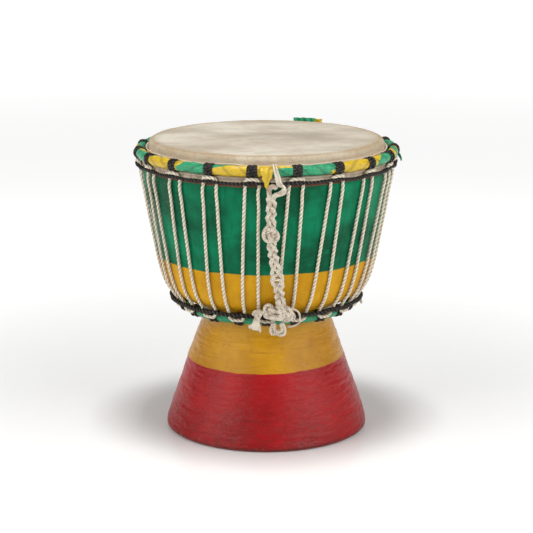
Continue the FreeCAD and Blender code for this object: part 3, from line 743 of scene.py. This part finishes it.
edge_arc = spline([(84.2, 0.0), (86.2, 1.0), (86.7, 2.8)], 0.4)
lip = arc((94.45, 245.0), 4.0, 0.0, math.pi / 2)
drop = spline([(93.4, 249.0), (92.3, 247.6), (91.9, 245.4)], 0.5)
sole = np.stack([np.linspace(75.0, 84.2, 10)[:-1], np.zeros(9)], -1)
wall = np.stack([np.full(14, 98.45), np.linspace(235.5, 245.0, 15)[:-1]], -1)
prof = np.vstack([sole, edge_arc[:-1], outer[:-1], shoulder[:-1], wall, lip[:-1],
                  [lip[-1]], drop[:-1], inner[:-1]])
n_out = len(sole) + len(edge_arc) - 1 + len(outer) - 1 + len(shoulder) - 1
dp = np.roll(prof, -1, 0) - np.roll(prof, 1, 0)
nrm = unit(np.stack([dp[:, 1], -dp[:, 0]], -1))
N = 640
deg = np.arange(N) * 360.0 / N
D, Z = np.meshgrid(deg, prof[:, 1])
is_in = np.zeros(len(prof))
is_in[n_out + len(wall) // 2:] = 1.0
is_in[:len(sole) - 1] = 1.0
painted = 1.0 - is_in[:, None]
lower = 1.0 - smooth(Z, 92.0, 118.0)
cut = 0.30 * around(D, Z, 34, 2.3, 11) + 0.16 * around(D, Z, 90, 1.2, 12) + 0.42 * around(D, Z, 9, 15.0, 13)
bowl = 0.09 * around(D, Z, 70, 7.0, 14) + 0.28 * around(D, Z, 11, 26.0, 15) + 0.05 * around(D, Z, 150, 2.4, 17)
raw = 0.45 * around(D, Z, 26, 9.0, 16) + 0.15 * around(D, Z, 80, 3.0, 18)
disp = painted * (lower * cut + (1 - lower) * bowl) + is_in[:, None] * raw
rest = smooth(Z, 0.0, 3.0) * (1 - smooth(Z, 222.0, 226.0)) + is_in[:, None] * smooth(Z, 0.0, 3.0) * (1 - smooth(Z, 228, 236))
disp = disp * np.clip(rest, 0, 1)
disp[:len(sole)] = 0
b = Batch()
lathe(b, prof[:, 0:1] + nrm[:, 0:1] * disp, prof[:, 1:2] + nrm[:, 1:2] * disp, True, inside=is_in[:, None])
shell = make("shell_wood", b, WOOD, "drum", ("shell",))


def shell_at(z):
    """Outer radius of the shell, and its outward normal, at a height above the throat."""
    o = outer[outer[:, 1] > 97.5]
    r = np.interp(z, o[:, 1], o[:, 0])
    t = unit(np.stack([np.interp(z + 1.0, o[:, 1], o[:, 0]) - np.interp(z - 1.0, o[:, 1], o[:, 0]),
                       np.full(np.shape(z), 2.0)], -1))
    return r, np.stack([t[..., 1], -t[..., 0]], -1)


# ---------------------------------------------------------------- drumhead
T = 0.9
C1, C2, C3 = (94.45, 245.0), (FLESH_R, FLESH_Z), (CROWN_R, CROWN_Z)
R1, R2, R3 = 4.5, 2.5, 6.1


def cross_tangent(ca, ra, cb, rb):
    dx, dz = cb[0] - ca[0], cb[1] - ca[1]
    base = math.atan2(dz, dx)
    off = math.acos((ra + rb) / math.hypot(dx, dz))
    return base + off, base + off + math.pi


a1, b0 = cross_tangent(C1, R1, C2, R2)
b1, c0 = cross_tangent(C2, R2, C3, R3)
c1 = math.radians(160.0)
while b0 < 0:
    b0 += TAU
while b1 < b0:
    b1 += TAU
while c0 < c1:
    c0 += TAU


def on(c, r, a):
    return np.array([c[0] + r * math.cos(a), c[1] + r * math.sin(a)])


def run(p, q, step=0.55):
    k = max(2, int(np.linalg.norm(q - p) / step))
    return p + (q - p) * np.linspace(0, 1, k + 1)[:, None]


z_top = C1[1] + R1
flat_r = np.r_[np.linspace(1.5, 80.0, 30), np.linspace(80.8, C1[0], 20)]
c_end = on(C3, R3, c1)
mid_line = np.vstack([
    np.stack([flat_r, np.full(len(flat_r), z_top)], -1)[:-1],
    arc(C1, R1, math.pi / 2, a1, 0.45)[:-1],
    run(on(C1, R1, a1), on(C2, R2, b0))[:-1],
    arc(C2, R2, b0, b1, 0.4)[:-1],
    run(on(C2, R2, b1), on(C3, R3, c0))[:-1] if np.linalg.norm(on(C2, R2, b1) - on(C3, R3, c0)) > 0.6 else np.zeros((0, 2)),
    arc(C3, R3, c0, c1, 0.5)[:-1],
    run(c_end, c_end + np.array([math.sin(c1), -math.cos(c1)]) * 1.9),
])
u_line = np.r_[0, np.cumsum(np.linalg.norm(np.diff(mid_line, axis=0), axis=1))] + mid_line[0, 0]
tt = unit(np.gradient(mid_line, axis=0))
nl = np.stack([-tt[:, 1], tt[:, 0]], -1)
nl = nl * np.where(nl[:1, 1:2] < 0, -1.0, 1.0)      # upward on the playing face
N = 720
deg = np.arange(N) * 360.0 / N
D, U = np.meshgrid(deg, u_line)
to_hitch = np.abs(((D - FIRST) / PITCH + 0.5) % 1.0 - 0.5) * 2.0     # 0 under a hitch, 1 between
u_roll0 = u_line[np.argmin(np.abs(mid_line[:, 1] - 233.0) + (mid_line[:, 0] > 101.5) * 99)]
roll = smooth(U, u_roll0 - 1.0, u_roll0 + 2.0) * (1 - smooth(U, u_line[-1] - 9.0, u_line[-1] - 6.0))
pl = 0.5 + 0.5 * vnoise(D / 360 * 150, U / 14.0, 21, 150)
pleat = np.clip(1 - np.abs(pl * 2 - 1) * 1.5, 0, 1)
top_edge = smooth(U, 84, 93) * (1 - smooth(U, 104, 107))
dd = 0.10 * around(D, U, 9, 22, 22) * (1 - smooth(U, 60, 90)) \
    + top_edge * (0.10 * around(D, U, 120, 1.9, 23) + 0.16 * around(D, U, 31, 5, 24)) \
    + roll * (-0.55 * pleat - 0.10 + 0.22 * around(D, U, 60, 3.0, 25))
free = smooth(U, u_line[-1] - 3.4, u_line[-1])
lift = free * (0.55 * around(D, U * 0, 70, 1.0, 26) + 0.55 * around(D, U * 0, 23, 1.0, 27) - 0.1)
b = Batch()
rings_r, rings_z, al, pt_ = [], [], [], []
for sgn in (1, -1):
    off = sgn * T / 2 + dd
    r = mid_line[:, 0:1] + nl[:, 0:1] * off + tt[:, 0:1] * lift
    z = mid_line[:, 1:2] + nl[:, 1:2] * off + tt[:, 1:2] * lift
    o = slice(None) if sgn == 1 else slice(None, None, -1)
    rings_r.append(r[o]), rings_z.append(z[o]), al.append(U[o]), pt_.append((1 - pleat * roll)[o])
lathe(b, np.vstack(rings_r), np.vstack(rings_z), False, along=np.vstack(al), pleat=np.vstack(pt_))
head = make("drumhead_skin", b, SKIN, "drum", ("drumhead",))

# ---------------------------------------------------------------- rim cloth
GREEN = (-8, -6, -4, -2, 1, 3, 5, 7, 9)
PATCH = {   # signed: above zero is yellow; u runs along the segment, f = 1 is its top, 0 its outside
    -9: lambda u, f: 0.7 - 0.4 * f,
    -8: lambda u, f: f - 1.15 + 0.5 * u,
    -7: lambda u, f: 0.9 - f + 0.8 * (u - 0.3),
    -6: lambda u, f: 0.22 - u - 0.3 * f,
    -5: lambda u, f: 0.55 - f * 0.8 + 0.6 * (u - 0.5),
    -4: lambda u, f: f - 0.95 - 0.5 * (u - 0.5),
    -3: lambda u, f: 0.35 + 1.6 * (u - 0.05) - 0.75 * np.maximum(f, 0.0),
    -2: lambda u, f: 0.16 - u + 0.25 * np.maximum(f, 0),
    -1: lambda u, f: 0.15 + 1.6 * u - 1.0 * np.maximum(f + 0.05, 0.0),
    0: lambda u, f: np.maximum(0.40 - u, 0.55 * (f - 0.42) - 0.25 * (u - 0.42)),
    1: lambda u, f: np.minimum(u - 0.80, -0.12 - f) * 1.4,
    2: lambda u, f: 0.6 + 0 * u,
    3: lambda u, f: 0.20 - u + 0.35 * np.maximum(f, 0),
    4: lambda u, f: np.abs(u - 0.5 - 0.15 * f) - 0.20,
    5: lambda u, f: 0.12 - u,
    6: lambda u, f: 0.8 - f,
    7: lambda u, f: f - 1.1,
    8: lambda u, f: 0.5 - 0.6 * f + 0.5 * u,
    9: lambda u, f: 0.10 - u + 0.2 * f,
}
gb, yb = Batch(), Batch()
for i in range(-9, 10):
    a = FIRST + PITCH * i
    nu, nf = 60, 72
    u = np.linspace(0.0, 1.0, nu)[:, None]
    ph = (np.arange(nf) * TAU / nf - math.pi)[None]
    f = ph / (math.pi / 2)
    rs = np.random.RandomState(100 + i)
    ph0, tw = rs.uniform(0, TAU), rs.choice([-1, 1]) * rs.uniform(1.6, 2.8)
    md = PATCH[i](u, f)
    md = np.broadcast_to(md, (nu, nf)) + 0.05 * vnoise(ph * 3 + 40, u * 9 + i * 7, 51, 97)
    bulge = np.sin(math.pi * np.clip(u * 1.0, 0, 1)) ** 0.55
    helix = (ph * 1.0 + tw * u * math.pi + ph0) / TAU
    fold = np.abs((helix * 2.0) % 1.0 - 0.5) * 2.0                      # 1 on a lap, 0 in its valley
    fold = np.broadcast_to(fold, (nu, nf))
    fine = vnoise(ph * 5 + 60 + 0 * u, u * 6 + ph * 0.8 + i, 53, 97)
    step = smooth(md, -0.02, 0.05) * 0.28
    room_in = 1 - 0.75 * smooth(np.abs(np.abs(ph) - math.pi) * -1, -1.1, -0.5)       # less swell on the skin's side
    rr = 3.30 + (0.66 * bulge + 0.42 * (fold ** 0.6) * bulge + 0.20 * fine + step * bulge) * room_in
    rr = rr * (1 + 0.02 * np.sin(u * 17 + i))
    deg_u = a + 0.02 + (PITCH - 0.04) * u
    pts = at(CROWN_R + rr * np.cos(ph), deg_u, CROWN_Z + rr * np.sin(ph))
    inn = at(CROWN_R + 3.05 * np.cos(ph), deg_u, CROWN_Z + 3.05 * np.sin(ph) + 0 * u)
    v = np.concatenate([pts, inn[::-1]]).reshape(-1, 3)      # out, round the end, and back inside
    m2 = 2 * nu
    ii, kk = np.arange(m2)[:, None], np.arange(nf)[None]
    jj, k1 = (ii + 1) % m2, (kk + 1) % nf
    q = np.stack([ii * nf + kk, jj * nf + kk, jj * nf + k1, ii * nf + k1], -1).reshape(-1, 4)
    # the fold attribute sets how much painted shade the cloth gets in its lap valleys
    fold_shade = fold * 0.85 + 0.15
    (gb if i in GREEN else yb).add(v, q, (), mixd=np.concatenate([md, md[::-1]]).reshape(-1),
                                   fold=np.concatenate([fold_shade, fold_shade[::-1]]).reshape(-1))
make("crown_cloth_g", gb, CLOTH, "drum", ("crown_cloth_green",))
make("crown_cloth_y", yb, CLOTH, "drum", ("crown_cloth_yellow",))

# bottom ring: one green strip wound all round
b = Batch()
NU, NF = 900, 48
u = (np.arange(NU) * 360.0 / NU)[:, None]
ph = (np.arange(NF) * TAU / NF)[None]
lash = np.abs(((u - FIRST - LOW_SKEW) / PITCH) % 1.0 - 0.5) * 2.0              # 0 under a lashing
bulge = smooth(lash, 0.12, 0.75)
fold = np.abs(((ph / TAU) + u / PITCH * 1.5) % 1.0 - 0.5) * 2.0
fine = vnoise(u / 360 * 260 + 0 * ph, ph * 3, 61, 260)
rr = 3.50 + (0.42 * bulge + 0.22 * fold ** 0.7 * bulge + 0.10 * fine)
pts = at(BOTTOM_R + rr * np.cos(ph), u, BOTTOM_Z - 0.7 + rr * np.sin(ph))
ii, kk = np.arange(NU)[:, None], np.arange(NF)[None]
jj, k1 = (ii + 1) % NU, (kk + 1) % NF
q = np.stack([ii * NF + kk, jj * NF + kk, jj * NF + k1, ii * NF + k1], -1).reshape(-1, 4)
# fold here sets the painted shade between the laps
b.add(pts.reshape(-1, 3), q, (), mixd=-1.0, fold=np.broadcast_to(fold * 0.7 + 0.3, rr.shape).reshape(-1))
make("bottom_cloth", b, LOW_CLOTH, "drum", ("bottom_ring_cloth",))


# ---------------------------------------------------------------- hitches
def round_ring(R, Zc, deg0, x, phi, rho):
    """A point beside a ring: x along it, phi round its section, rho from its centre."""
    return at(R + rho * np.cos(phi), deg0 + np.degrees(x / R), Zc + rho * np.sin(phi))


def hitch(b, R, Zc, wire, deg0, half, thick, inner_t, seed):
    """Two broad turns round a ring with their ends crossed over and tucked in on the outside."""
    rs = np.random.RandomState(seed)
    t = np.arange(96) * TAU / 96
    for k, x0 in enumerate((-half, half)):
        inn = smooth(np.cos(t - math.pi), 0.15, 0.75)              # flattened against the skin
        th = thick * (1 - inn) + inner_t * inn
        x = x0 + 0.35 * np.sin(t + rs.uniform(0, TAU)) + rs.uniform(-0.2, 0.2)
        p = round_ring(R, Zc, deg0, x, t, wire + th)
        nn = unit(np.stack([np.cos(t) * math.sin(math.radians(deg0)), -np.cos(t) * math.cos(math.radians(deg0)), np.sin(t)], -1))
        tube(b, p, 1.0, True, 16, 2, 4.6, 0.42, flat=th, wide=half * 1.16, normal=nn, rnd=rs.rand(), phase=2.0 * k)
    sg = 1 if rs.rand() > 0.5 else -1
    s = np.linspace(0, 1, 44)
    for x1, x2, f1, f2, up, w in ((1.55, -1.35, -80, 30, 1.35, 1.15), (-1.45, 1.35, -40, 84, 1.10, 1.10), (1.30, -1.45, 10, 96, 1.30, 1.05)):
        ph = np.radians(f1 + (f2 - f1) * s + rs.uniform(-6, 6))
        x = sg * half * (x1 + (x2 - x1) * s) + 0.3 * np.sin(s * 5 + rs.uniform(0, TAU))
        rho = wire + thick * (1.45 + up * 0.45 * np.sin(s * math.pi) ** 0.6) - 0.5 * (1 - np.sin(s * math.pi))
        tube(b, round_ring(R, Zc, deg0, x, ph, rho), thick * w, False, 14, 2, 4.0, 0.42, flat=0.85, rnd=rs.rand())


b = Batch()
for i in range(HITCHES):
    d = FIRST + PITCH * i
    hitch(b, CROWN_R, CROWN_Z, 3.40, d, 2.0, 0.85, 0.50, 200 + i)
    # the small loop behind the rope's turn, down to the running cord
    rs = np.random.RandomState(300 + i)
    tube(b, spline([at(105.2, d - 1.2, 235.4), at(105.1, d - 0.9, 232.4), at(107.0, d - 0.5, 230.6),
                    at(107.6, d + 0.5, 230.2), at(105.1, d + 0.9, 232.4), at(105.2, d + 1.2, 235.4)], 0.4),
         0.75, False, 10, 2, 3.0, 0.3, rnd=rs.rand())
make("crown_lashing", b, BLACK, "drum", ("crown_hitches",))

b = Batch()
for i in range(HITCHES):
    d = FIRST + PITCH * (i + 0.5) + LOW_SKEW
    hitch(b, BOTTOM_R, BOTTOM_Z - 0.7, 3.25, d, 2.0, 0.95, 0.75, 400 + i)
make("bottom_lashing", b, BLACK, "drum", ("bottom_hitches",))


# ---------------------------------------------------------------- running cords
def running(name, R, Zc, rad, pitch, seed, amp, node):
    n = int(TAU * R / 0.55)
    dg = np.arange(n) * 360.0 / n
    w = np.cos(np.radians((dg - FIRST) * HITCHES))
    r = R + amp * 0.5 * w + 0.20 * vnoise(dg / 360 * 60, dg * 0, seed, 60)
    z = Zc + amp * w + 0.48 * vnoise(dg / 360 * 44, dg * 0 + 3, seed + 1, 44)
    b = Batch()
    up = np.tile([0.0, 0.0, 1.0], (n, 1))
    rad = rad * (1 + 0.20 * vnoise(dg / 360 * 90, dg * 0 + 7, seed + 2, 90))
    tube(b, at(r, dg, z), rad, True, 20, 2, pitch, 0.56, normal=up)
    return make(name, b, BLACK, "drum", (node,))


running("crown_black_cord", 108.8, 230.0, 1.65, 6.4, 71, 0.35, "crown_running_cord")
running("bottom_black_cord", 80.9, 114.9, 2.0, 7.2, 73, -0.25, "bottom_running_cord")

# ---------------------------------------------------------------- tension rope
rs = np.random.RandomState(9)
line = []
for i in range(6, 25):
    d = FIRST + PITCH * i
    for sgn in (-1, 1):
        jt, jl = rs.uniform(-0.28, 0.28), rs.uniform(-0.45, 0.45)
        zs = np.array([116.4, 122.3, 128.5, 137.0, 148.0, 162.0, 180.0, 198.0, 214.0, 225.0])
        r, nn = shell_at(np.maximum(zs, 117.2))
        half = (TOP_HALF + jt) + ((LOW_HALF + jl) - (TOP_HALF + jt)) * (231.0 - zs) / (231.0 - 112.0)
        rr, zz = r + nn[:, 0] * 1.75, zs + nn[:, 1] * 1.75
        rr[0], zz[0] = 78.7, 115.9
        skew = LOW_SKEW * (232.5 - zs) / (232.5 - 110.6)
        leg = at(rr, d + skew + sgn * half, zz)
        low = at([77.6, 77.5, 77.8], d + LOW_SKEW + sgn * (PITCH / 2 - np.array([0.0, 3.4, 4.5])), [109.9, 110.3, 112.6])
        top = at([106.3, 107.9, 109.4], d + sgn * np.array([3.1, 2.75, 0.0]), [229.2, 232.2, 233.5])
        if sgn == -1:
            line += [*low[0:1], *low[1:], *leg, *top]
        else:
            line += [*top[:2][::-1], *leg[::-1], *low[1:][::-1]]
line += list(at([77.6], FIRST + PITCH * 24.5 + LOW_SKEW, [109.9]))
line = np.array(line)
keep = np.r_[True, np.linalg.norm(np.diff(line, axis=0), axis=1) > 0.3]
rope_line = spline(line[keep], 0.55)
rope_line = rope_line[3:-3]
b = Batch()
tube(b, rope_line, 1.42, False, 22, 2, 7.4, 0.30)
make("tension_rope_cord", b, WHITE, "drum", ("tension_rope",))

b = Batch()
kd = math.radians(END_DEG)
k = trefoil((0, 0, 0), 3.1, 1.7, 2.4, 0.4, 110)
k = np.stack([k[:, 0], k[:, 1] - 79.6, k[:, 2] + 109.9], -1)
extra = [spline([(-1.5, -79.0, 110.0), (-2.8, -80.6, 108.6), (-4.0, -81.6, 106.4), (-4.4, -82.0, 104.2)], 0.4),
         spline([(1.5, -79.0, 110.6), (3.2, -80.8, 109.6), (4.6, -81.6, 107.6)], 0.4)]


def turned(p):
    c, s = math.cos(kd), math.sin(kd)
    return np.stack([p[:, 0] * c - p[:, 1] * s, p[:, 0] * s + p[:, 1] * c, p[:, 2]], -1)


doubled(b, turned(k), 1.0, 0.75, True, rnd=0.4)
for e in extra:
    tube(b, turned(e), 1.2, segs=12, strands=3, pitch=3.2, depth=0.28)
make("rope_end_knot_cord", b, WHITE, "drum", ("rope_end_knot",))

# ---------------------------------------------------------------- loose cloth
# each piece's fold attribute below sets where painted shade falls on it; the flap gets a dark painted crease line
v_, u_ = np.linspace(0, 1, 46)[:, None], np.linspace(0, 1, 30)[None]
xl = -5.6 + 5.0 * v_ ** 1.1 + 0.35 * np.sin(v_ * 19)
xr = 7.4 - 6.9 * v_ ** 0.85 + 0.35 * np.sin(v_ * 15 + 1)
gx = xl + (xr - xl) * u_
gz = 244.0 - 17.0 * v_ - 0.9 * (1 - v_) * np.abs(u_ - 0.4) + 0.25 * np.sin(u_ * 23) * v_
gy = -109.3 - 3.0 * smooth(v_, 0.0, 0.28) + 0.5 * smooth(v_, 0.5, 1.0) \
    - 0.85 * np.exp(-((u_ - 0.45) / 0.16) ** 2) * (0.35 + 0.65 * v_) + 0.4 * np.sin(u_ * 9 + v_ * 5) * (1 - v_ * 0.5)
grid = np.stack(np.broadcast_arrays(gx, gy, gz), -1)
b = Batch()
crease_shade = np.broadcast_to(1 - 0.8 * np.exp(-((u_ - 0.66) / 0.09) ** 2), grid.shape[:2])
slab(b, grid, 0.45, mixd=1.0, fold=crease_shade)
flap = make("cloth_flap", b, CLOTH, "drum", ("cloth_flap_front",))

v_, u_ = np.linspace(0, 1, 36)[:, None], np.linspace(0, 1, 26)[None]
hw = 5.2 * (1 - 0.88 * v_ ** 1.1)
gy = 7.8 + (u_ * 2 - 1) * hw * 0.86 + 1.0 * v_ + 0.3 * np.sin(v_ * 14)
gx = 110.0 + 1.4 * smooth(v_, 0, 0.5) + 3.0 * smooth(v_, 0.3, 1.0) + (1 - u_ * 2) * 1.9 * smooth(v_, 0.1, 0.5) * (1.15 - v_) + 0.6 * np.sin(u_ * 6 + v_ * 3) * (1 - v_ * 0.4)
gz = 239.0 - 10.8 * v_ + 0.3 * np.sin(u_ * 17) * v_
grid = np.stack(np.broadcast_arrays(gx, gy, gz), -1)
b = Batch()
slab(b, grid, 0.45, mixd=-1.0, fold=np.broadcast_to(0.45 + 0.55 * np.abs(np.sin(u_ * 5)), grid.shape[:2]))
end_r = make("cloth_end_r", b, CLOTH, "drum", ("cloth_end_right",))

v_, u_ = np.linspace(0, 1, 30)[:, None], np.linspace(0, 1, 64)[None]
top = 250.4 + 0.9 * np.sin(u_ * 2.6 + 0.3) + 0.15 * np.sin(u_ * 21)
base = 243.0 + 0 * u_
xx = -13.4 + 26.8 * u_ + 0.6 * np.sin(v_ * 7) * (u_ - 0.5)
gz = base + (top - base) * v_
yy = 0.5 * np.sin(u_ * 13) * v_ + 1.6 * (1 - smooth(v_, 0, 0.45)) + 0.45 * np.sin(u_ * 29 + v_ * 5)
ca, sa = math.cos(math.radians(-20.4)), math.sin(math.radians(-20.4))
gx = 37.0 + xx * ca - yy * sa
gy = 100.6 + xx * sa + yy * ca
grid = np.stack(np.broadcast_arrays(gx, gy, gz), -1)
b = Batch()
slab(b, grid, 0.45, mixd=np.broadcast_to((u_ - 0.76) * 2, grid.shape[:2]),
     fold=np.broadcast_to(0.4 + 0.6 * np.abs(np.sin(u_ * 11)), grid.shape[:2]))
end_b = make("cloth_end_b", b, CLOTH, "drum", ("cloth_end_back",))

# ---------------------------------------------------------------- rings kept from CAD
for name in ("flesh_ring", "crown_ring", "bottom_ring"):
    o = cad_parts[name]
    o.data.materials.clear()
    o.data.materials.append(STEEL)

# ---------------------------------------------------------------- floor, light
fm = Mat("floor", Specular_IOR_Level=0.40)
fn = fm.noise(fm.place(), 60, 2)
fx, fy, fz = fm.xyz(fm.place())
far = fm.math("SQRT", fm.add(fm.mul(fx, fx), fm.mul(fy, fy)))
fm.put(fm.b.inputs["Emission Strength"], fm.add(fm.fade(far, 0.16, 0.80, 0.0, 0.46), fm.fade(far, 0.8, 3.0, 0.0, 0.28)))
FLOOR = fm.out(fm.mix(fn, (0.93, 0.93, 0.925), (0.945, 0.945, 0.94)), fm.fade(fn, 0.3, 0.7, 0.13, 0.16))
me = bpy.data.meshes.new("floor")
me.from_pydata([(-20, -20, -0.0002), (20, -20, -0.0002), (20, 40, -0.0002), (-20, 40, -0.0002)], [], [(0, 1, 2, 3)])
me.materials.append(FLOOR)
floor = bpy.data.objects.new("floor", me)
scene.collection.objects.link(floor)


def softbox(name, where, aim, w, h, power):
    l = bpy.data.lights.new(name, "AREA")
    l.shape, l.size, l.size_y, l.energy = "RECTANGLE", w, h, power
    o = bpy.data.objects.new(name, l)
    scene.collection.objects.link(o)
    o.location = where
    o.rotation_euler = (Vector(aim) - Vector(where)).to_track_quat("-Z", "Y").to_euler()


softbox("left_box", (-1.24, -0.76, 0.86), (0, 0, 0.14), 1.45, 1.05, 13.5)
softbox("right_box", (1.26, -0.80, 0.86), (0, 0, 0.14), 1.65, 1.05, 16.0)
softbox("top_box", (0.0, -0.10, 1.40), (0, 0, 0.1), 0.26, 0.26, 10.5)
world = bpy.data.worlds.new("studio")
world.use_nodes = True
world.node_tree.nodes["Background"].inputs[0].default_value = (1.0, 1.0, 0.992, 1.0)
world.node_tree.nodes["Background"].inputs[1].default_value = 0.30
scene.world = world
scene.view_settings.view_transform = "Standard"
